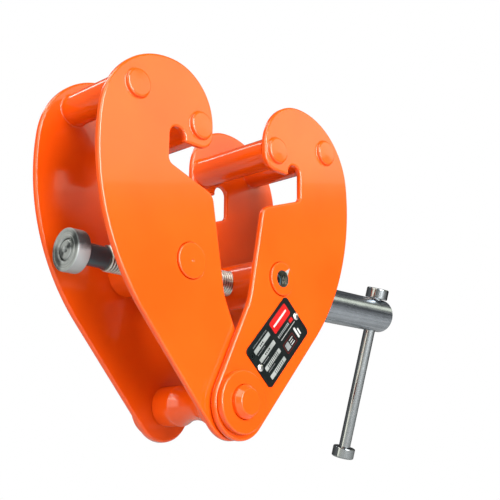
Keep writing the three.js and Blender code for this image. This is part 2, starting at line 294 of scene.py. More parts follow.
def rounded_profile(corners, closed=False):
    """Points of a turned profile from (radius, height, fillet) corners, all in metres."""
    places = [Vector((radius, height)) for radius, height, _ in corners]
    ends = () if closed else (0, len(corners) - 1)
    points = []
    for i, (_, _, fillet) in enumerate(corners):
        if fillet <= 0 or i in ends:
            points.append(places[i])
            continue
        after = places[(i + 1) % len(places)]
        rounding = corner_arc(places[i - 1], places[i], after, fillet, FILLET_HOLD)
        centre, start, turn, side_in, side_out = rounding
        points.append(side_in)
        points += [centre + polar(fillet, start + turn * k / FILLET_STEPS) for k in range(FILLET_STEPS + 1)]
        points.append(side_out)
    return points


def both_ways(half, at_middle=()):
    """A profile that runs the same way to both sides of the middle, from its half."""
    return [Vector((point.x, -point.y)) for point in reversed(half)] + list(at_middle) + half


def lathed_mesh(name, profile, origin, axis, facets=96, closed=False):
    """Turns a profile of (radius, height) points about an axis."""
    axis = axis.normalized()
    first = axis.orthogonal().normalized()
    second = axis.cross(first)
    bm = bmesh.new()
    rings = []
    for point in profile:
        base = origin + axis * point.y
        if point.x < 1e-6:
            rings.append([bm.verts.new(base)])
            continue
        ring = []
        for k in range(facets):
            turn = 2 * math.pi * k / facets
            out = first * math.cos(turn) + second * math.sin(turn)
            ring.append(bm.verts.new(base + out * point.x))
        rings.append(ring)
    pairs = list(zip(rings, rings[1:]))
    if closed:
        pairs.append((rings[-1], rings[0]))
    for one, other in pairs:
        for k in range(facets):
            j = (k + 1) % facets
            corners = [one[k % len(one)], one[j % len(one)], other[j % len(other)], other[k % len(other)]]
            unique = list(dict.fromkeys(corners))
            if len(unique) > 2:
                bm.faces.new(unique)
    return finished_mesh(name, bm)


def turned_mesh(name, corners, origin, axis, facets=96, closed=False):
    return lathed_mesh(name, rounded_profile(corners, closed), origin, axis, facets, closed)


def drill(name, radius, reach, origin, axis, facets):
    """A round cutter that reaches this far to both sides of the origin."""
    corners = [(0, -reach, 0), (radius, -reach, 0), (radius, reach, 0), (0, reach, 0)]
    return turned_mesh(name, corners, origin, axis, facets)


def cut_mesh(name, mesh, cutters):
    """The mesh with each cutter taken away, as a new mesh."""
    body = in_scene(name, mesh)
    tools = [in_scene(name + "_cutter", cutter) for cutter in cutters]
    for tool in tools:
        cut = body.modifiers.new("cut", "BOOLEAN")
        cut.operation = "DIFFERENCE"
        cut.solver = "EXACT"
        cut.object = tool
    result = evaluated_mesh(body)
    for item in [body, *tools]:
        bpy.data.objects.remove(item)
    return smoothed(result)


def piece(name, mesh, body, nodes, materials):
    """Puts a finished mesh in the scene as a piece that stands for CAD nodes."""
    mesh.materials.clear()
    for material in materials:
        mesh.materials.append(material)
    item = in_scene(name, mesh)
    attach(item, body)
    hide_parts(*nodes)


# ---------- node helpers ----------

class Graph:
    """A node tree, with short ways to add nodes and join them."""

    def __init__(self, tree):
        self.tree = tree

    def add(self, kind, **settings):
        node = self.tree.nodes.new(kind)
        for key, value in settings.items():
            setattr(node, key, value)
        return node

    def join(self, start, end):
        self.tree.links.new(start, end)

    def value(self, socket, given):
        """Joins a node's output to the socket, or sets the socket to a plain value."""
        if isinstance(given, bpy.types.NodeSocket):
            self.join(given, socket)
        else:
            socket.default_value = given

    def fed(self, kind, given, **settings):
        """Adds a node and gives its inputs by name."""
        node = self.add(kind, **settings)
        for title, value in given.items():
            self.value(node.inputs[title], value)
        return node

    def maths(self, operation, a, b=0.0, c=0.0):
        node = self.add("ShaderNodeMath", operation=operation)
        for socket, given in zip(node.inputs, (a, b, c)):
            self.value(socket, given)
        return node.outputs["Value"]

    def vector(self, operation, a, b=(0, 0, 0)):
        node = self.add("ShaderNodeVectorMath", operation=operation)
        self.value(node.inputs[0], a)
        self.value(node.inputs[1], b)
        result = "Value" if operation in ("LENGTH", "DOT_PRODUCT") else "Vector"
        return node.outputs[result]

    def ramp(self, fac, stops):
        """Colours between (position, colour) stops, which are in rising order."""
        node = self.fed("ShaderNodeValToRGB", {"Fac": fac})
        elements = node.color_ramp.elements
        for _ in stops[2:]:
            elements.new(0.5)
        for element, (position, colour) in zip(elements, stops):
            element.position = position
            element.color = (*colour, 1)
        return node.outputs["Color"]


# ---------- materials ----------

class Finish(Graph):
    """A node material around one Principled shader."""

    def __init__(self, name, metallic, roughness, coat=0.0, coat_roughness=0.05):
        self.material = bpy.data.materials.new(name)
        self.material.use_nodes = True
        super().__init__(self.material.node_tree)
        self.tree.nodes.clear()
        self.shader = self.fed("ShaderNodeBsdfPrincipled", {
            "Metallic": metallic, "Roughness": roughness, "IOR": 1.5,
            "Coat Weight": coat, "Coat Roughness": coat_roughness,
        })
        self.fed("ShaderNodeOutputMaterial", {"Surface": self.shader.outputs["BSDF"]})
        self.place = self.add("ShaderNodeTexCoord").outputs["Object"]

    def noise(self, scale, detail=3.0, roughness=0.5, place=None):
        node = self.fed("ShaderNodeTexNoise", {
            "Vector": place or self.place, "Scale": scale, "Detail": detail, "Roughness": roughness,
        })
        return node.outputs["Fac"]

    def spread(self, fac, low, high, start=0.35, end=0.65):
        node = self.fed("ShaderNodeMapRange", {
            "Value": fac, "From Min": start, "From Max": end, "To Min": low, "To Max": high,
        })
        return node.outputs["Result"]

    def mix(self, fac, first, second):
        node = self.add("ShaderNodeMix", data_type="RGBA")
        colour_inputs = (node.inputs[0], node.inputs[6], node.inputs[7])
        for socket, given in zip(colour_inputs, (fac, first, second)):
            self.value(socket, given)
        return node.outputs[2]

    def turned(self, place, turn):
        node = self.fed("ShaderNodeMapping", {"Vector": place, "Rotation": turn}, vector_type="POINT")
        return node.outputs["Vector"]

    def bump(self, height, strength, distance, under=None):
        node = self.fed("ShaderNodeBump", {"Strength": strength, "Distance": distance, "Height": height})
        if under is not None:
            self.join(under, node.inputs["Normal"])
        return node.outputs["Normal"]

    def from_line(self, point, axis):
        """Distance from a line through point along axis, which is x, y or z."""
        away = self.vector("SUBTRACT", self.place, tuple(point))
        kept = tuple(0.0 if abs(part) > 0.5 else 1.0 for part in axis)
        return self.vector("LENGTH", self.vector("MULTIPLY", away, kept))

    def painted_sheen_fans(self, centre):
        """Painted sheen: light and dark fans about the screw's axis, standing in for reflections on a turned
        face.
        """
        away = self.vector("SUBTRACT", self.place, tuple(centre))
        around = self.fed("ShaderNodeTexGradient", {"Vector": self.turned(away, (0, math.pi / 2, 0))},
                          gradient_type="RADIAL").outputs["Fac"]
        wide_fans, narrow_fans = 2, 5
        wide = self.maths("SINE", self.maths("MULTIPLY_ADD", around, wide_fans * 2 * math.pi, 0.6))
        narrow = self.maths("SINE", self.maths("MULTIPLY_ADD", around, narrow_fans * 2 * math.pi, 1.1))
        both = self.maths("MULTIPLY_ADD", narrow, 0.3, wide)
        return self.maths("MULTIPLY_ADD", both, 0.38, 0.5)

    def set(self, **sockets):
        for name, given in sockets.items():
            self.value(self.shader.inputs[name.replace("_", " ")], given)
        return self


ORANGE_THIN = (0.74, 0.070, 0.0016)
ORANGE_THICK = (0.80, 0.084, 0.0034)

# The tapped hole in the right trunnion, metres
TAP_CREST = 5 * MM
TAP_ROOT = 5.35 * MM
TAP_PITCH = 1.5 * MM
TAP_DEPTH = 20 * MM
CHIP_END = 9.5 * MM
CHIP_HEADING = math.radians(50)


def paint_nodes(finish):
    """Colour, roughness and skin of glossy orange powder coat."""
    colour = finish.ramp(finish.noise(22, 2), [(0.3, ORANGE_THIN), (0.7, ORANGE_THICK)])
    roughness = finish.spread(finish.noise(900, 2), 0.13, 0.19)
    skin = finish.bump(finish.noise(60, 1), 0.08, 0.6 * MM)
    skin = finish.bump(finish.noise(520, 2, 0.4), 0.05, 0.06 * MM, skin)
    return colour, roughness, skin


def orange_paint():
    finish = Finish("orange_paint", 0.0, 0.16, coat=0.25, coat_roughness=0.03)
    colour, roughness, skin = paint_nodes(finish)
    return finish.set(Base_Color=colour, Roughness=roughness, Normal=skin).material


def chipped_paint(centre):
    """Same paint, bare steel in the tapped hole and in a mark out of it; the hole's steel is painted shade.
    """
    finish = Finish("orange_paint_chipped", 0.0, 0.16, coat=0.25, coat_roughness=0.03)
    colour, roughness, skin = paint_nodes(finish)
    away = finish.vector("SUBTRACT", finish.place, tuple(centre))
    depth = finish.vector("DOT_PRODUCT", away, tuple(ACROSS))
    along = finish.vector("DOT_PRODUCT", away, (math.cos(CHIP_HEADING), 0, math.sin(CHIP_HEADING)))
    aside = finish.vector("DOT_PRODUCT", away, (-math.sin(CHIP_HEADING), 0, math.cos(CHIP_HEADING)))
    ragged = finish.maths("MULTIPLY", finish.maths("SUBTRACT", finish.noise(700, 2), 0.5), 1.2 * MM)
    half_width = finish.maths("MULTIPLY_ADD", along, -0.30, 3.2 * MM)
    off_middle = finish.maths("ADD", finish.maths("ABSOLUTE", aside), ragged)
    inside = finish.maths("LESS_THAN", off_middle, half_width)
    started = finish.maths("GREATER_THAN", along, TAP_ROOT * 0.8)
    stopped = finish.maths("LESS_THAN", finish.maths("ADD", along, ragged), CHIP_END)
    near = finish.maths("LESS_THAN", depth, 0)
    mark = finish.maths("MULTIPLY", finish.maths("MULTIPLY", inside, started), stopped)
    hole = finish.maths("LESS_THAN", finish.from_line(centre, ACROSS), TAP_ROOT + 0.12 * MM)
    bare = finish.maths("MULTIPLY", finish.maths("MAXIMUM", mark, hole), near)
    threads = finish.maths("SINE", finish.maths("MULTIPLY", depth, 2 * math.pi / TAP_PITCH))
    skin = finish.bump(finish.maths("MULTIPLY", threads, hole), 0.8, 0.4 * MM, skin)
    grit = finish.noise(1500, 3)
    dry = finish.ramp(grit, [(0.3, (0.40, 0.41, 0.39)), (0.7, (0.58, 0.59, 0.57))])
    # Painted shade: the steel inside the tapped hole is coloured dark; the mark keeps bright bare steel
    hole_painted_shade = finish.ramp(grit, [(0.3, (0.035, 0.038, 0.028)), (0.7, (0.11, 0.115, 0.085))])
    return finish.set(
        Base_Color=finish.mix(bare, colour, finish.mix(hole, dry, hole_painted_shade)),
        Roughness=finish.maths("MULTIPLY_ADD", bare, 0.06, roughness),
        Metallic=finish.maths("MULTIPLY", bare, 0.45),
        Normal=skin,
    ).material


def turned_steel(name, dark, light, rings, roughness, metallic=1.0, painted_sheen=0.5):
    """Steel with lathe rings about the screw's axis under thin zinc, and painted sheen fans in its colour.
    """
    finish = Finish(name, metallic, roughness)
    grain = finish.add("ShaderNodeTangent", direction_type="RADIAL", axis="X").outputs["Tangent"]
    radius = finish.from_line(SCREW, ALONG_SCREW)
    groove = finish.fed("ShaderNodeTexNoise", {
        "W": finish.maths("MULTIPLY", radius, rings), "Scale": 1.0, "Detail": 2.0,
    }, noise_dimensions="1D").outputs["Fac"]
    cloud = finish.noise(260, 3)
    speck = finish.noise(2200, 2)
    tone = finish.maths("ADD", finish.maths("MULTIPLY", cloud, 0.3), finish.maths("MULTIPLY", speck, 0.2))
    # Painted sheen: light and dark fans about the screw's axis, added to the colour
    tone = finish.maths("ADD", tone, finish.maths("MULTIPLY", finish.painted_sheen_fans(SCREW), painted_sheen))
    skin = finish.bump(groove, 0.25, 0.08 * MM)
    skin = finish.bump(speck, 0.06, 0.03 * MM, skin)
    return finish.set(
        Base_Color=finish.ramp(tone, [(0.35, dark), (0.65, light)]),
        Roughness=finish.spread(groove, roughness - 0.07, roughness + 0.1),
        Tangent=grain,
        Anisotropic=0.6,
        Normal=skin,
    ).material


def drawn_steel(name, dark, light, roughness, grain, depth, turn=(0, 0, 0)):
    """Drawn bar, with fine lines along it; grain is how often they change along x, y and z."""
    finish = Finish(name, 1.0, roughness)
    stretched = finish.vector("MULTIPLY", finish.turned(finish.place, turn), grain)
    lines = finish.noise(1.0, 3, 0.6, stretched)
    cloud = finish.noise(120, 3)
    tone = finish.maths("ADD", finish.maths("MULTIPLY", lines, 0.7), finish.maths("MULTIPLY", cloud, 0.3))
    return finish.set(
        Base_Color=finish.ramp(tone, [(0.38, dark), (0.62, light)]),
        Roughness=finish.spread(lines, roughness - 0.025, roughness + 0.035),
        Normal=finish.bump(lines, 0.3, depth),
    ).material


def thread_painted_shade():
    """Cut thread: crests lightened as painted highlight, roots darkened as painted shade."""
    finish = Finish("thread_steel", 1.0, 0.28)
    # Painted shade in the roots and painted highlight on the crests, by distance from the screw's axis
    crest = finish.spread(finish.from_line(SCREW, ALONG_SCREW), 0.0, 1.0, 6.9 * MM, 7.7 * MM)
    smear = finish.noise(180, 3)
    root_painted_shade = finish.ramp(smear, [(0.35, (0.05, 0.05, 0.045)), (0.65, (0.13, 0.13, 0.115))])
    top = finish.ramp(smear, [(0.35, (0.50, 0.52, 0.50)), (0.65, (0.70, 0.73, 0.72))])
    scratches = finish.noise(2400, 2)
    return finish.set(
        Base_Color=finish.mix(crest, root_painted_shade, top),
        Roughness=finish.spread(scratches, 0.22, 0.38),
        Normal=finish.bump(scratches, 0.12, 0.04 * MM),
    ).material


def printed(name, dark, light, metallic=0.0, roughness=0.35):
    """Print on anodised sheet, slightly uneven."""
    finish = Finish(name, metallic, roughness)
    speck = finish.noise(3000, 2)
    return finish.set(
        Base_Color=finish.ramp(finish.noise(140, 3), [(0.35, dark), (0.65, light)]),
        Roughness=finish.spread(speck, roughness - 0.08, roughness + 0.1),
        Specular_IOR_Level=0.15,
        Normal=finish.bump(speck, 0.05, 0.03 * MM),
    ).material


# ---------- geometry nodes ----------

SCREW_RADIUS = 8 * MM
THREAD_PITCH = 2 * MM
THREAD_ROOT = 6.8 * MM
THREAD_SINK = 0.1 * MM
THREAD_SEAM = 0.02 * MM

# Widths of the ridge in pitches, and the turns over which it fades in at its ends
THREAD_BASE = 0.95
THREAD_CREST = 0.14
THREAD_FADE = 0.8

# The spiral turns left-handed unless it is reversed, which a negative hand does
RIGHT_HAND = -1.0
LEFT_HAND = 1.0


class Tree(Graph):
    """A geometry node tree with named inputs."""

    def __init__(self, name, inputs):
        super().__init__(bpy.data.node_groups.new(name, "GeometryNodeTree"))
        sockets = [("Geometry", "INPUT", "Geometry")]
        sockets += [(title, "INPUT", kind) for title, kind in inputs]
        sockets.append(("Geometry", "OUTPUT", "Geometry"))
        for title, direction, kind in sockets:
            self.tree.interface.new_socket(name=title, in_out=direction, socket_type="NodeSocket" + kind)
        self.given = self.add("NodeGroupInput").outputs
        self.result = self.add("NodeGroupOutput")

    def end_with(self, geometry):
        """Realizes what the tree made, gives it the Finish material and sends it out."""
        real = self.fed("GeometryNodeRealizeInstances", {"Geometry": geometry})
        finished = self.fed("GeometryNodeSetMaterial", {
            "Geometry": real.outputs["Geometry"], "Material": self.given["Finish"],
        })
        self.join(finished.outputs["Geometry"], self.result.inputs["Geometry"])
        return self.tree


def grown(name, mesh, tree, values):
    """Runs a tree on a mesh and returns the result as a plain mesh."""
    item = in_scene(name, mesh)
    modifier = item.modifiers.new(name, "NODES")
    modifier.node_group = tree
    for socket in tree.interface.items_tree:
        if socket.in_out == "INPUT" and socket.name in values:
            modifier[socket.identifier] = values[socket.name]
    result = evaluated_mesh(item)
    item.modifiers.clear()
    bpy.data.objects.remove(item)
    return result


def thread_tree():
    """Adds a helical ridge to the core: a trapezoid swept along a helix, which sinks in at both ends."""
    tree = Tree("thread_ridge", [
        ("Root Radius", "Float"), ("Depth", "Float"), ("Pitch", "Float"), ("Turns", "Float"),
        ("Hand", "Float"), ("Start", "Vector"), ("Finish", "Material"),
    ])
    given = tree.given
    reverse = tree.add("FunctionNodeCompare", operation="LESS_THAN")
    tree.join(given["Hand"], reverse.inputs[0])
    helix = tree.fed("GeometryNodeCurveSpiral", {
        "Resolution": 40,
        "Rotations": given["Turns"],
        "Start Radius": given["Root Radius"],
        "End Radius": given["Root Radius"],
        "Height": tree.maths("MULTIPLY", given["Pitch"], given["Turns"]),
        "Reverse": reverse.outputs["Result"],
    })
    upright = tree.fed("GeometryNodeSetCurveNormal", {"Curve": helix.outputs["Curve"]}, mode="Z_UP")

    height = tree.maths("ADD", given["Depth"], THREAD_SINK)
    lift = tree.maths("MULTIPLY_ADD", height, -0.5, THREAD_SINK)
    ridge = tree.fed("GeometryNodeCurvePrimitiveQuadrilateral", {
        "Height": height,
        "Bottom Width": tree.maths("MULTIPLY", given["Pitch"], THREAD_BASE),
        "Top Width": tree.maths("MULTIPLY", given["Pitch"], THREAD_CREST),
        "Offset": 0.0,
    }, mode="TRAPEZOID")
    facing = tree.fed("ShaderNodeCombineXYZ", {"Z": tree.maths("MULTIPLY", given["Hand"], math.pi / 2)})
    shift = tree.fed("ShaderNodeCombineXYZ", {"X": tree.maths("MULTIPLY", lift, given["Hand"])})
    outward = tree.fed("GeometryNodeTransform", {
        "Geometry": ridge.outputs["Curve"],
        "Rotation": facing.outputs["Vector"],
        "Translation": shift.outputs["Vector"],
    })

    along = tree.add("GeometryNodeSplineParameter").outputs["Factor"]
    to_end = tree.maths("MINIMUM", along, tree.maths("SUBTRACT", 1.0, along))
    faded = tree.fed("ShaderNodeMapRange", {
        "Value": tree.maths("MULTIPLY", to_end, given["Turns"]), "From Max": THREAD_FADE, "To Min": 0.06,
    })
    swept = tree.fed("GeometryNodeCurveToMesh", {
        "Curve": upright.outputs["Curve"],
        "Profile Curve": outward.outputs["Geometry"],
        "Scale": faded.outputs["Result"],
        "Fill Caps": True,
    })
    placed = tree.fed("GeometryNodeTransform", {
        "Geometry": swept.outputs["Mesh"],
        "Translation": given["Start"],
        "Rotation": (0, math.pi / 2, 0),
    })
    both = tree.fed("GeometryNodeJoinGeometry", {"Geometry": placed.outputs["Geometry"]})
    tree.join(given["Geometry"], both.inputs["Geometry"])
    return tree.end_with(both.outputs["Geometry"])


def row_tree():
    """Repeats the given item along a straight row."""
    tree = Tree("row", [("Count", "Int"), ("Step", "Vector"), ("Finish", "Material")])
    line = tree.fed("GeometryNodeMeshLine", {
        "Count": tree.given["Count"], "Offset": tree.given["Step"],
    }, mode="OFFSET")
    repeated = tree.fed("GeometryNodeInstanceOnPoints", {
        "Points": line.outputs["Mesh"], "Instance": tree.given["Geometry"],
    })
    return tree.end_with(repeated.outputs["Instances"])


# ---------- jaws ----------

SIDES = {"left": -1, "right": 1}
PIN_HOLE = 10.3 * MM
JOURNAL_HOLE = 11 * MM
RIVET_HOLE = 8.75 * MM
RIVET_RADIUS = 8.6 * MM
RIVET_FLARE = 0.7 * MM
ROD_RADIUS = 10 * MM
ROD_GAP = 0.02 * MM
ROD_RINGS = (8 * MM, 20 * MM)


def jaw_plate(pair, end, paint):
    name = f"{pair}_jaw_plate_{end}"
    low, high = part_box(name)
    bores = [
        (BAR, PIN_HOLE, 72),
        (middle(pair + "_trunnion"), JOURNAL_HOLE, 72),
        (middle(pair + "_top_spacer"), RIVET_HOLE, 64),
        (middle(pair + "_nose_spacer"), RIVET_HOLE, 64),
    ]
    holes = [circle(Vector((place.x, place.z)), radius, facets) for place, radius, facets in bores]
    bm = bmesh.new()
    plate_into(bm, jaw_outline(SIDES[pair]), holes, lambda p, depth: (p.x, low.y + depth, p.y),
               high.y - low.y, PLATE_EDGE)
    piece(name, finished_mesh(name, bm), pair + "_jaw", [name], [paint])


def flare(radius, face, outward, reach=PAINT_FILLET):
    """Concave fillet of paint from a plate's face up to a rod of this radius; outward leads off the face."""
    steps = 6
    points = []
    for i in range(steps + 1):
        turn = math.pi / 2 * i / steps
        points.append(Vector((
            radius + reach * (1 - math.sin(turn)),
            face - outward * ROD_GAP + outward * reach * (1 - math.cos(turn)),
        )))
    return points


def spacer_rod(pair, rod, paint):
    """Rod between two plates, riveted over outside them, with paint run into the corners."""
    name = f"{pair}_{rod}_spacer"
    inside, outside = (corner.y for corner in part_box(pair + "_jaw_plate_far"))
    place = middle(name)
    head_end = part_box(name)[1].y
    head = rounded_profile([
        (RIVET_RADIUS, outside + 0.9 * MM, 0),
        (RIVET_RADIUS, head_end - 0.25 * MM, 1.3 * MM),
        (2.2 * MM, head_end, 2.5 * MM),
        (0, head_end, 0),
    ])[1:]
    half = [Vector((ROD_RADIUS, y)) for y in ROD_RINGS]
    half += flare(ROD_RADIUS, inside, -1)[::-1]
    half += [Vector((RIVET_RADIUS, inside + ROD_GAP)), Vector((RIVET_RADIUS, outside - ROD_GAP))]
    half += flare(RIVET_RADIUS, outside, 1, RIVET_FLARE) + head
    mesh = lathed_mesh(name, both_ways(half), Vector((place.x, 0, place.z)), ACROSS)
    piece(name, mesh, pair + "_jaw", [name], [paint])


def jaw(pair, paint):
    for end in ("near", "far"):
        jaw_plate(pair, end, paint)
    for rod in ("top", "nose"):
        spacer_rod(pair, rod, paint)


# ---------- load bar and washers ----------

WAIST_RADIUS = 9.3 * MM
WAIST_HALF = 13 * MM
WAIST_RINGS = 15
PIN_RADIUS = 10 * MM
PIN_CHAMFER = Vector((2.3 * MM, 3.2 * MM))
WASHER_BORE = 10.15 * MM


def load_bar(paint):
    """Hook bar with a hollow waist, stepped down to a pin at each end."""
    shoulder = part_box("left_jaw_plate_far")[0].y - SHOULDER_GAP
    pin_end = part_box("load_bar")[1].y
    bar_radius = across("load_bar")
    depth = bar_radius - WAIST_RADIUS
    groove = (WAIST_HALF ** 2 + depth ** 2) / (2 * depth)
    half = []
    for i in range(1, WAIST_RINGS):
        y = WAIST_HALF * i / WAIST_RINGS
        half.append(Vector((WAIST_RADIUS + groove - math.sqrt(groove ** 2 - y ** 2), y)))
    half += rounded_profile([
        (half[-1].x, half[-1].y, 0),
        (bar_radius, WAIST_HALF, 3 * MM),
        (bar_radius, shoulder, 0.6 * MM),
        (PIN_RADIUS, shoulder, 0.1 * MM),
        (PIN_RADIUS, pin_end - PIN_CHAMFER.y, 1.2 * MM),
        (PIN_RADIUS - PIN_CHAMFER.x, pin_end, 1.0 * MM),
        (0, pin_end, 0),
    ])[1:]
    mesh = lathed_mesh("load_bar", both_ways(half, [Vector((WAIST_RADIUS, 0))]), BAR, ACROSS)
    piece("load_bar", mesh, "load_bar", ["load_bar"], [paint])


def washer(name, paint):
    low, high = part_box(name)
    radius = across(name)
    outward = 1 if high.y > 0 else -1
    thickness = high.y - low.y
    corners = [
        (WASHER_BORE, 0, 0.3 * MM),
        (radius, 0, 0.5 * MM),
        (radius, thickness, 0.9 * MM),
        (WASHER_BORE, thickness, 0.5 * MM),
    ]
    start = Vector((BAR.x, low.y if outward > 0 else high.y, BAR.z))
    mesh = turned_mesh(name, corners, start, ACROSS * outward, closed=True)
    piece(name, mesh, "load_bar", [name], [paint])


# ---------- trunnions ----------

JOURNAL_RADIUS = 10.7 * MM
CENTRE_MARK = Vector((0.9 * MM, 1.2 * MM))
NUT_BORE = 8.3 * MM
LOCK_CHAMFER = 0.7 * MM
LOCK_POINT = 1 * MM
KEY_ACROSS_FLATS = 5 * MM
KEY_DEPTH = 5 * MM
KEY_CONE = 0.8 * MM


def trunnion(pair, material, cutters):
    """Barrel with a journal at each end, bored for the screw, with a centre mark in both end faces."""
    name = pair + "_trunnion"
    low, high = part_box(name)
    barrel = (high.x - low.x) / 2
    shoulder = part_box(pair + "_jaw_plate_far")[0].y - SHOULDER_GAP
    half = [
        (barrel, shoulder, 0.8 * MM),
        (JOURNAL_RADIUS, shoulder, 0.1 * MM),
        (JOURNAL_RADIUS, high.y, 0.6 * MM),
        (CENTRE_MARK.x, high.y, 0.15 * MM),
        (0, high.y - CENTRE_MARK.y, 0),
    ]
    corners = [(radius, -height, fillet) for radius, height, fillet in reversed(half)] + half
    body = turned_mesh(name, corners, middle(name), ACROSS, 128)
    bore = drill(name + "_bore", NUT_BORE, barrel * 1.5, middle(name), ALONG_SCREW, 72)
    piece(name, cut_mesh(name, body, [bore, *cutters]), name, [name], [material])


def tapped_hole():
    """Cutter for the tapped hole in the right trunnion: a countersunk mouth and rings of thread."""
    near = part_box("right_trunnion")[0].y
    place = middle("right_trunnion")
    mouth, lead, outside = 0.6 * MM, 0.8 * MM, 3 * MM
    profile = [(0, -outside), (TAP_CREST + mouth, -outside), (TAP_CREST + mouth, 0), (TAP_CREST, mouth)]
    for i in range(int((TAP_DEPTH - lead) / TAP_PITCH)):
        top = lead + i * TAP_PITCH
        profile += [(TAP_CREST, top), (TAP_ROOT, top + TAP_PITCH * 0.45), (TAP_ROOT, top + TAP_PITCH * 0.55)]
    profile += [(TAP_CREST, TAP_DEPTH), (0, TAP_DEPTH)]
    points = [Vector(point) for point in profile]
    return lathed_mesh("right_trunnion_tapping", points, Vector((place.x, near, place.z)), ACROSS, 72)


def lock_screw(steel):
    """Grub screw with a hexagon socket in its near end."""
    name = "spindle_lock_screw"
    low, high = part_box(name)
    radius = across(name)
    length = high.y - low.y
    corners = [
        (0, 0, 0),
        (radius - LOCK_CHAMFER, 0, 0.2 * MM),
        (radius, LOCK_CHAMFER, 0.2 * MM),
        (radius, length - LOCK_POINT, 0.2 * MM),
        (radius - LOCK_POINT, length, 0.2 * MM),
        (0, length, 0),
    ]
    start = Vector((middle(name).x, low.y, middle(name).z))
    body = turned_mesh(name, corners, start, ACROSS, 64)
    key = KEY_ACROSS_FLATS / math.sqrt(3)
    profile = [(0, -KEY_DEPTH), (key, -KEY_DEPTH), (key, KEY_DEPTH), (0, KEY_DEPTH + KEY_CONE)]
    socket = lathed_mesh("lock_screw_socket", [Vector(point) for point in profile], start, ACROSS, 6)
    mesh = cut_mesh(name, body, [socket])
    piece(name, mesh, "right_trunnion", [name], [steel])


# ---------- screw, collar, boss and handle ----------

COLLAR_SEAT = 6.2 * MM
SHANK_RADIUS = 6.5 * MM
THREAD_START = -75 * MM
PLAIN_HALF = 5 * MM
PLAIN_RADIUS = 6.7 * MM
PLAIN_CONE = 0.6 * MM
COLLAR_BORE = 6.5 * MM
BOSS_BORE = 8.15 * MM
BOSS_BORE_DEPTH = 40 * MM
TOMMY_RADIUS = 4.4 * MM
TOMMY_HOLE = 4.75 * MM
TOMMY_SPIGOT = 1.9 * MM
CAP_RADIUS = 8.5 * MM
CAP_LENGTH = 8 * MM
CAP_WALL = 2 * MM
CAP_BORE = 4.55 * MM


def spindle(metals):
    """Screw with a thread of each hand; metals are those of the thread, the shank and the end."""
    left, right = (corner.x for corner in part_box("spindle"))
    collar_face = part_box("stop_collar")[1].x + 0.3 * MM
    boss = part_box("handle_boss")[0].x
    cone_end = PLAIN_HALF + PLAIN_CONE
    corners = [
        (0, left + 2.6 * MM, 0),
        (0.9 * MM, left + 2.2 * MM, 0.1 * MM),
        (1.9 * MM, left + 0.3 * MM, 0.2 * MM),
        (2.3 * MM, left, 0.15 * MM),
        (4.95 * MM, left, 0.2 * MM),
        (COLLAR_SEAT, left + 1.5 * MM, 0.2 * MM),
        (COLLAR_SEAT, collar_face, 0.1 * MM),
        (SHANK_RADIUS, collar_face, 0.1 * MM),
        (SHANK_RADIUS, THREAD_START, 0.1 * MM),
        (THREAD_ROOT, THREAD_START + 0.4 * MM, 0.1 * MM),
        (THREAD_ROOT, -cone_end, 0.1 * MM),
        (PLAIN_RADIUS, -PLAIN_HALF, 0.1 * MM),
        (PLAIN_RADIUS, PLAIN_HALF, 0.1 * MM),
        (THREAD_ROOT, cone_end, 0.1 * MM),
        (THREAD_ROOT, boss + 1 * MM, 0.1 * MM),
        (SCREW_RADIUS, boss + 2 * MM, 0.1 * MM),
        (SCREW_RADIUS, right, 0.5 * MM),
        (0, right, 0),
    ]
    mesh = turned_mesh("spindle", corners, SCREW, ALONG_SCREW)
    tree = thread_tree()
    inner_end = PLAIN_HALF + 0.2 * MM
    threads = [(THREAD_START, -inner_end, RIGHT_HAND), (inner_end, boss + 1.5 * MM, LEFT_HAND)]
    for start, end, hand in threads:
        mesh = grown("spindle", mesh, tree, {
            "Root Radius": THREAD_ROOT - THREAD_SEAM,
            "Depth": SCREW_RADIUS - THREAD_ROOT + THREAD_SEAM,
            "Pitch": THREAD_PITCH,
            "Turns": (end - start) / THREAD_PITCH,
            "Hand": hand,
            "Start": (start, SCREW.y, SCREW.z),
            "Finish": metals[0],
        })
    piece("spindle", smoothed(mesh), "spindle", ["spindle"], metals)
    for face in mesh.polygons:
        if face.center.x < collar_face:
            face.material_index = 2
        elif face.center.x < THREAD_START + 0.2 * MM:
            face.material_index = 1


def stop_collar(steel):
    """Collar with a raised rim round its outer face and a shallow groove inside the rim."""
    low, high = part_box("stop_collar")
    radius = across("stop_collar")
    groove = 0.25 * MM
    corners = [
        (COLLAR_BORE, low.x + 0.7 * MM, 0.1 * MM),
        (COLLAR_BORE + 0.7 * MM, low.x, 0.15 * MM),
        (8.3 * MM, low.x, 0.1 * MM),
        (8.6 * MM, low.x + groove, 0.1 * MM),
        (10.4 * MM, low.x + groove, 0.1 * MM),
        (10.7 * MM, low.x, 0.1 * MM),
        (radius, low.x, 0.6 * MM),
        (radius, high.x, 0.6 * MM),
        (COLLAR_BORE, high.x, 0.3 * MM),
    ]
    mesh = turned_mesh("stop_collar", corners, SCREW, ALONG_SCREW, 128, closed=True)
    piece("stop_collar", mesh, "stop_collar", ["stop_collar"], [steel])


def handle_boss(steel):
    """Thick sleeve with a blind bore for the spindle's end and a cross hole for the tommy bar."""
    low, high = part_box("handle_boss")
    radius = (high.y - low.y) / 2
    bottom = low.x + BOSS_BORE_DEPTH
    corners = [
        (0, bottom, 0),
        (BOSS_BORE, bottom, 0),
        (BOSS_BORE, low.x + 0.6 * MM, 0.1 * MM),
        (BOSS_BORE + 0.6 * MM, low.x, 0.1 * MM),
        (radius, low.x, 0.8 * MM),
        (radius, high.x, 0.9 * MM),
        (0, high.x, 0),
    ]
    body = turned_mesh("handle_boss", corners, SCREW, ALONG_SCREW, 128)
    hole = drill("tommy_hole", TOMMY_HOLE, 16 * MM, TOMMY_ORIGIN, TOMMY_UP, 64)
    mesh = cut_mesh("handle_boss", body, [hole])
    piece("handle_boss", mesh, "spindle", ["handle_boss"], [steel])


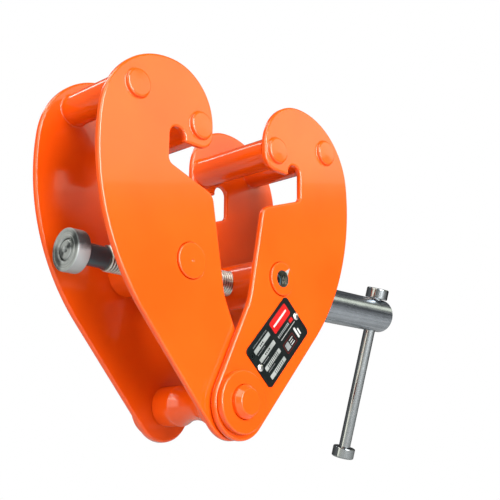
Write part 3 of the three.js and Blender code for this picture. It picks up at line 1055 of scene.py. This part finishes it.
def tommy_bar(steel):
    start = (CAP_BOTTOM - TOMMY_ORIGIN).dot(TOMMY_UP) - TOMMY_SPIGOT
    end = (CAP_TOP - TOMMY_ORIGIN).dot(TOMMY_UP) + TOMMY_SPIGOT
    corners = [(0, start, 0), (TOMMY_RADIUS, start, 0.5 * MM), (TOMMY_RADIUS, end, 0.5 * MM), (0, end, 0)]
    mesh = turned_mesh("tommy_bar", corners, TOMMY_ORIGIN, TOMMY_UP)
    piece("tommy_bar", mesh, "tommy_bar", ["tommy_bar"], [steel])


def tommy_cap(name, outward, steel):
    """Cup pressed over an end of the tommy bar; outward is +1 for the top one and -1 for the bottom."""
    outer = CAP_LENGTH / 2
    bottom = outer - CAP_WALL
    corners = [
        (0, bottom, 0),
        (CAP_BORE, bottom, 0.1 * MM),
        (CAP_BORE, -outer, 0.3 * MM),
        (CAP_RADIUS, -outer, 0.7 * MM),
        (CAP_RADIUS, outer, 1.1 * MM),
        (0, outer, 0),
    ]
    mesh = turned_mesh(name, corners, middle(name), TOMMY_UP * outward)
    piece(name, mesh, "tommy_bar", [name], [steel])


# ---------- name plate ----------

PLATE_LENGTH = 53.2 * MM
PLATE_WIDTH = 30.4 * MM
PLATE_TURN = math.radians(47.3)
PLATE_MIDDLE = middle("name_plate")
PLATE_CORNER = 3 * MM
PLATE_HOLE = 1.35 * MM
PLATE_HOLE_REACH = 24 * MM
PRINT_RISE = 0.03 * MM
STAMP_RISE = 0.045 * MM
PRINT_THICKNESS = 0.08 * MM
PRINT_EDGE = 0.012 * MM


def along_plate(length):
    return polar(length, PLATE_TURN)


def across_plate(width):
    return polar(width, PLATE_TURN - math.pi / 2)


def on_plate(u, w):
    """Offset in x, z from the name plate's middle, for u along it and w across it, both from 0 to 1."""
    return along_plate(PLATE_LENGTH * (u - 0.5)) + across_plate(PLATE_WIDTH * (w - 0.5))


def plate_lift(front):
    """Turns a flat point on the name plate and a depth behind its front into a place."""
    return lambda p, depth: (PLATE_MIDDLE.x + p.x, front + depth, PLATE_MIDDLE.z + p.y)


def rounded_box(u, w, radius):
    """Outline of a rounded block on the name plate; u and w are its (start, end)."""
    corners = [on_plate(u[0], w[0]), on_plate(u[1], w[0]), on_plate(u[1], w[1]), on_plate(u[0], w[1])]
    points = []
    for i, corner in enumerate(corners):
        points += rounded_corner(corners[i - 1], corner, corners[(i + 1) % 4], radius, 0.25 * MM)
    return points


def print_into(bm, outline, holes=(), rise=PRINT_RISE):
    """Adds a thin closed prism of print that stands just proud of the name plate."""
    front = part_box("name_plate")[0].y - rise
    plate_into(bm, outline, holes, plate_lift(front), PRINT_THICKNESS, PRINT_EDGE, PRINT_EDGE, 1)


def print_piece(name, mesh, material):
    piece(name, mesh, "right_jaw", ["name_plate"], [material])


def shapes_piece(name, shapes, material, rise=PRINT_RISE):
    """One piece of print from (outline, holes) shapes."""
    bm = bmesh.new()
    for outline, holes in shapes:
        print_into(bm, outline, holes, rise)
    print_piece(name, finished_mesh(name, bm), material)


def blocks_piece(name, blocks, material, rise=PRINT_RISE):
    """One piece of print from (u, w, corner radius) blocks."""
    shapes_piece(name, [(rounded_box(u, w, radius), ()) for u, w, radius in blocks], material, rise)


def name_plate_sheet(material):
    low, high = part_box("name_plate")
    reach = PLATE_HOLE_REACH / PLATE_LENGTH
    holes = [circle(on_plate(0.5 + end * reach, 0.5), PLATE_HOLE, 24) for end in (-1, 1)]
    bm = bmesh.new()
    plate_into(bm, rounded_box((0, 1), (0, 1), PLATE_CORNER), holes, plate_lift(low.y),
               high.y - low.y, 0.18 * MM, 0.1 * MM, 3)
    print_piece("name_plate", finished_mesh("name_plate", bm), material)


def row_of(name, block, step, count, material, tree, rise=PRINT_RISE):
    """A row of print: one (u, w, corner radius) block repeated by step, which is along and across."""
    bm = bmesh.new()
    print_into(bm, rounded_box(*block), (), rise)
    offset = across_plate(PLATE_WIDTH * step[1]) + along_plate(PLATE_LENGTH * step[0])
    return grown(name, finished_mesh(name, bm), tree, {
        "Count": count, "Step": (offset.x, 0, offset.y), "Finish": material,
    })


def rows_piece(name, rows, material, tree, rise=PRINT_RISE):
    """One piece from rows along the name plate; each has its first block, step along and count."""
    bm = bmesh.new()
    for block, step, count in rows:
        bm.from_mesh(row_of(name + "_row", block, (step, 0), count, material, tree, rise))
    print_piece(name, smoothed(plain_mesh(name, bm)), material)


def name_plate(prints, tree):
    name_plate_sheet(prints["black"])
    field = ((0.10, 0.45), (0.155, 0.25), 0.3 * MM)
    fields = row_of("name_plate_fields", field, (0, 0.22), 4, prints["silver"], tree)
    print_piece("name_plate_fields", fields, prints["silver"])
    rows_piece("name_plate_captions", [
        (((0.12, 0.135), (0.285, 0.305), 0.1 * MM), 0.022, 8),
        (((0.12, 0.135), (0.505, 0.525), 0.1 * MM), 0.022, 6),
        (((0.12, 0.135), (0.725, 0.745), 0.1 * MM), 0.022, 7),
        (((0.12, 0.134), (0.09, 0.113), 0.1 * MM), 0.02, 16),
        (((0.53, 0.548), (0.42, 0.48), 0.12 * MM), 0.027, 10),
    ], prints["grey"], tree)
    rows_piece("name_plate_stamped_marks", [
        (((0.22, 0.24), (0.185, 0.22), 0.1 * MM), 0.03, 3),
        (((0.22, 0.24), (0.405, 0.44), 0.1 * MM), 0.03, 4),
        (((0.16, 0.17), (0.60, 0.685), 0.1 * MM), 0.028, 9),
        (((0.20, 0.21), (0.825, 0.90), 0.1 * MM), 0.03, 7),
    ], prints["black"], tree, STAMP_RISE)
    frame_inside = rounded_box((0.529, 0.753), (0.66, 0.87), 0.6 * MM)
    shapes_piece("name_plate_red_frame", [
        (rounded_box((0.52, 0.762), (0.645, 0.885), 0.9 * MM), [frame_inside]),
    ], prints["dark_red"])
    ring = on_plate(0.047, 0.192)
    shapes_piece("name_plate_ring_and_square", [
        (circle(ring, 1.4 * MM, 32), [circle(ring, 1.1 * MM, 32)]),
        (rounded_box((0.545, 0.625), (0.69, 0.84), 0.3 * MM), ()),
    ], prints["grey"])
    blocks_piece("name_plate_red_block", [
        ((0.52, 0.91), (0.07, 0.345), 1.2 * MM),
        ((0.815, 0.89), (0.41, 0.49), 0.3 * MM),
    ], prints["red"])
    blocks_piece("name_plate_block_line", [
        ((0.56, 0.87), (0.185, 0.23), 0.3 * MM),
    ], prints["white"], STAMP_RISE)
    blocks_piece("name_plate_white_lines", [
        ((0.545, 0.895), (0.54, 0.556), 0.1 * MM),
        ((0.805, 0.838), (0.62, 0.87), 0.3 * MM),
        ((0.858, 0.882), (0.70, 0.85), 0.3 * MM),
        ((0.645, 0.73), (0.70, 0.72), 0.1 * MM),
        ((0.645, 0.715), (0.755, 0.775), 0.1 * MM),
        ((0.645, 0.73), (0.81, 0.83), 0.1 * MM),
    ], prints["white"])


def drive_rivets(steel, tree):
    """Two domed drive rivets, one at each end of the name plate."""
    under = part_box("name_plate")[0].y - 0.1 * MM
    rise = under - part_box("name_plate_rivet_1")[0].y
    head, shank, length, rim, steps = 2.4 * MM, 1.2 * MM, 4 * MM, 0.1 * MM, 10
    profile = [(0, length), (shank, length), (shank, 0), (head - rim, 0), (head, -0.08 * MM)]
    for i in range(1, steps):
        turn = math.pi / 2 * i / steps
        profile.append((head * math.cos(turn), -rim - (rise - rim) * math.sin(turn)))
    profile.append((0, -rise))
    first, second = middle("name_plate_rivet_1"), middle("name_plate_rivet_2")
    points = [Vector(point) for point in profile]
    single = lathed_mesh("name_plate_rivets", points, Vector((first.x, under, first.z)), ACROSS, 48)
    mesh = grown("name_plate_rivets", single, tree, {
        "Count": 2, "Step": tuple(second - first), "Finish": steel,
    })
    piece("name_plate_rivets", mesh, "right_jaw",
          ["name_plate_rivet_1", "name_plate_rivet_2"], [steel])


# ---------- floor, light and camera ----------

FLOOR_DROP = 0.25
FLOOR_HALF = 3
FLOOR_GLOW = 0.14
FLOOR_GLOW_SEEN = 0.4
ROOM_WALLS = [(0.0, 0.30), (0.35, 0.22), (0.55, 0.12), (0.70, 0.13), (1.0, 0.05)]
ROOM_HEIGHTS = [(0.0, 0.02), (0.5, 0.0), (1.0, 0.03)]
TOWARDS_DARK_WALL = (0.95, 0.30, 0.0)
DOWNWARDS = (0, 0, -1.0)


def floor():
    """Plain pale floor, which glows a little more where it is seen than in what it lights."""
    finish = Finish("floor_paper", 0.0, 0.9)
    tone = finish.ramp(finish.noise(3, 2), [(0.3, (0.40, 0.40, 0.40)), (0.7, (0.42, 0.42, 0.42))])
    seen = finish.add("ShaderNodeLightPath").outputs["Is Camera Ray"]
    glow = finish.maths("MULTIPLY_ADD", seen, FLOOR_GLOW_SEEN, FLOOR_GLOW)
    finish.set(Base_Color=tone, Emission_Color=(1, 1, 1, 1), Emission_Strength=glow)
    height = CAD_BOX[0].z - FLOOR_DROP
    bm = bmesh.new()
    corners = [(x * FLOOR_HALF, y * FLOOR_HALF, height) for x, y in ((-1, -1), (1, -1), (1, 1), (-1, 1))]
    bm.faces.new([bm.verts.new(corner) for corner in corners])
    mesh = plain_mesh("floor", bm)
    mesh.materials.append(finish.material)
    in_scene("floor", mesh)


def softbox(name, direction, distance, width, height, power, colour=(1, 1, 1)):
    """A rectangular light that faces the middle of the clamp from this direction."""
    clamp_middle = (CAD_BOX[0] + CAD_BOX[1]) / 2
    towards = Vector(direction).normalized()
    light = bpy.data.lights.new(name, "AREA")
    light.shape = "RECTANGLE"
    light.size = width
    light.size_y = height
    light.energy = power
    light.color = colour
    item = in_scene(name, light)
    item.location = clamp_middle + towards * distance
    item.rotation_euler = (-towards).to_track_quat("-Z", "Y").to_euler()


def studio():
    softbox("key_light", (-0.08, -0.97, 0.25), 1.7, 1.2, 1.2, 58)
    softbox("top_light", (-0.75, -0.1, 0.95), 1.8, 1.6, 1.6, 28, (1.0, 0.97, 0.85))
    softbox("left_panel", (-0.98, 0.0, 0.15), 1.8, 1.5, 1.9, 20, (1.0, 0.96, 0.78))
    softbox("rod_light", (-0.14, 0.67, 0.73), 1.5, 0.10, 0.5, 1.2)
    softbox("crown_panel", (0.70, -0.67, 0.46), 2.0, 2.2, 0.42, 4.8, (1.0, 1.0, 0.78))
    softbox("front_strip", (0.05, -1.0, -0.10), 1.4, 0.09, 1.3, 1.8)
    room()
    bpy.context.scene.view_settings.view_transform = "Standard"


def room():
    """Walls that are pale to the left and dark to the right, a faint lift above and below, and plain
    white behind the clamp."""
    world = bpy.data.worlds.new("studio")
    bpy.context.scene.world = world
    world.use_nodes = True
    graph = Graph(world.node_tree)
    graph.tree.nodes.clear()
    place = graph.add("ShaderNodeTexCoord").outputs["Generated"]
    tones = []
    for direction, stops in ((TOWARDS_DARK_WALL, ROOM_WALLS), (DOWNWARDS, ROOM_HEIGHTS)):
        facing = graph.vector("DOT_PRODUCT", place, direction)
        spread = graph.fed("ShaderNodeMapRange", {"Value": facing, "From Min": -1.0})
        greys = [(position, (tone, tone, tone)) for position, tone in stops]
        tones.append(graph.ramp(spread.outputs["Result"], greys))
    soft = graph.fed("ShaderNodeBackground", {"Color": graph.vector("ADD", *tones)})
    backdrop = graph.fed("ShaderNodeBackground", {"Color": (1, 1, 1, 1)})
    seen = graph.add("ShaderNodeLightPath").outputs["Is Camera Ray"]
    chosen = graph.fed("ShaderNodeMixShader", {"Fac": seen})
    graph.join(soft.outputs["Background"], chosen.inputs[1])
    graph.join(backdrop.outputs["Background"], chosen.inputs[2])
    graph.fed("ShaderNodeOutputWorld", {"Surface": chosen.outputs["Shader"]})


def camera():
    """Looks up at the clamp from the front left, a little below it."""
    azimuth, elevation, roll = math.radians(46.2), math.radians(13.7), math.radians(0.525)
    back, aside, above = 0.5457, 0.0325, 0.0944
    level_ahead = Vector((math.sin(azimuth), math.cos(azimuth), 0))
    ahead = level_ahead * math.cos(elevation) + UPWARDS * math.sin(elevation)
    level = ahead.cross(UPWARDS).normalized()
    upright = level.cross(ahead)
    right = level * math.cos(roll) + upright * math.sin(roll)
    up = upright * math.cos(roll) - level * math.sin(roll)
    data = bpy.data.cameras.new("camera")
    data.lens = 64.43
    data.sensor_width = 36
    item = in_scene("camera", data)
    item.matrix_world = Matrix((right, up, -ahead)).transposed().to_4x4()
    item.location = BAR - ahead * back + right * aside + up * above
    bpy.context.scene.camera = item


# ---------- the clamp ----------

def plate_prints():
    return {
        "black": printed("black_print", (0.003, 0.005, 0.005), (0.006, 0.009, 0.009)),
        "silver": printed("silver_print", (0.24, 0.26, 0.25), (0.33, 0.35, 0.34), 0.25, 0.34),
        "grey": printed("grey_print", (0.16, 0.17, 0.17), (0.26, 0.27, 0.27)),
        "red": printed("red_print", (0.36, 0.007, 0.007), (0.44, 0.012, 0.011)),
        "dark_red": printed("dark_red_print", (0.095, 0.006, 0.006), (0.14, 0.009, 0.008)),
        "white": printed("white_print", (0.38, 0.39, 0.38), (0.46, 0.47, 0.46)),
    }


def clamp():
    paint = orange_paint()
    chipped = chipped_paint(middle("right_trunnion"))
    thread_steel = thread_painted_shade()
    shank_steel = turned_steel("shank_steel", (0.034, 0.064, 0.079), (0.070, 0.118, 0.138),
                               2500, 0.3, metallic=0.0, painted_sheen=0.0)
    collar_steel = turned_steel("turned_steel", (0.045, 0.052, 0.055), (0.33, 0.355, 0.365),
                                2600, 0.34, metallic=0.5, painted_sheen=0.75)
    rivet_steel = turned_steel("rivet_steel", (0.62, 0.63, 0.63), (0.84, 0.85, 0.85), 900, 0.25)
    dark_steel = drawn_steel("dark_steel", (0.32, 0.352, 0.392), (0.46, 0.500, 0.556), 0.27,
                             (8, 520, 520), 0.002 * MM)
    bar_turn = (-TOMMY_UP.angle(UPWARDS), 0, 0)
    bright_steel = drawn_steel("bright_steel", (0.29, 0.315, 0.33), (0.34, 0.365, 0.38), 0.11,
                               (500, 500, 6), 0.001 * MM, bar_turn)
    row = row_tree()
    for pair in SIDES:
        jaw(pair, paint)
    load_bar(paint)
    for name in ("near_washer", "far_washer"):
        washer(name, paint)
    trunnion("left", paint, [])
    trunnion("right", chipped, [tapped_hole()])
    lock_screw(shank_steel)
    spindle([thread_steel, shank_steel, collar_steel])
    stop_collar(collar_steel)
    handle_boss(dark_steel)
    tommy_bar(bright_steel)
    tommy_cap("tommy_cap_top", 1, bright_steel)
    tommy_cap("tommy_cap_bottom", -1, bright_steel)
    name_plate(plate_prints(), row)
    drive_rivets(rivet_steel, row)


clamp()
floor()
studio()
camera()

bpy.context.view_layer.update()
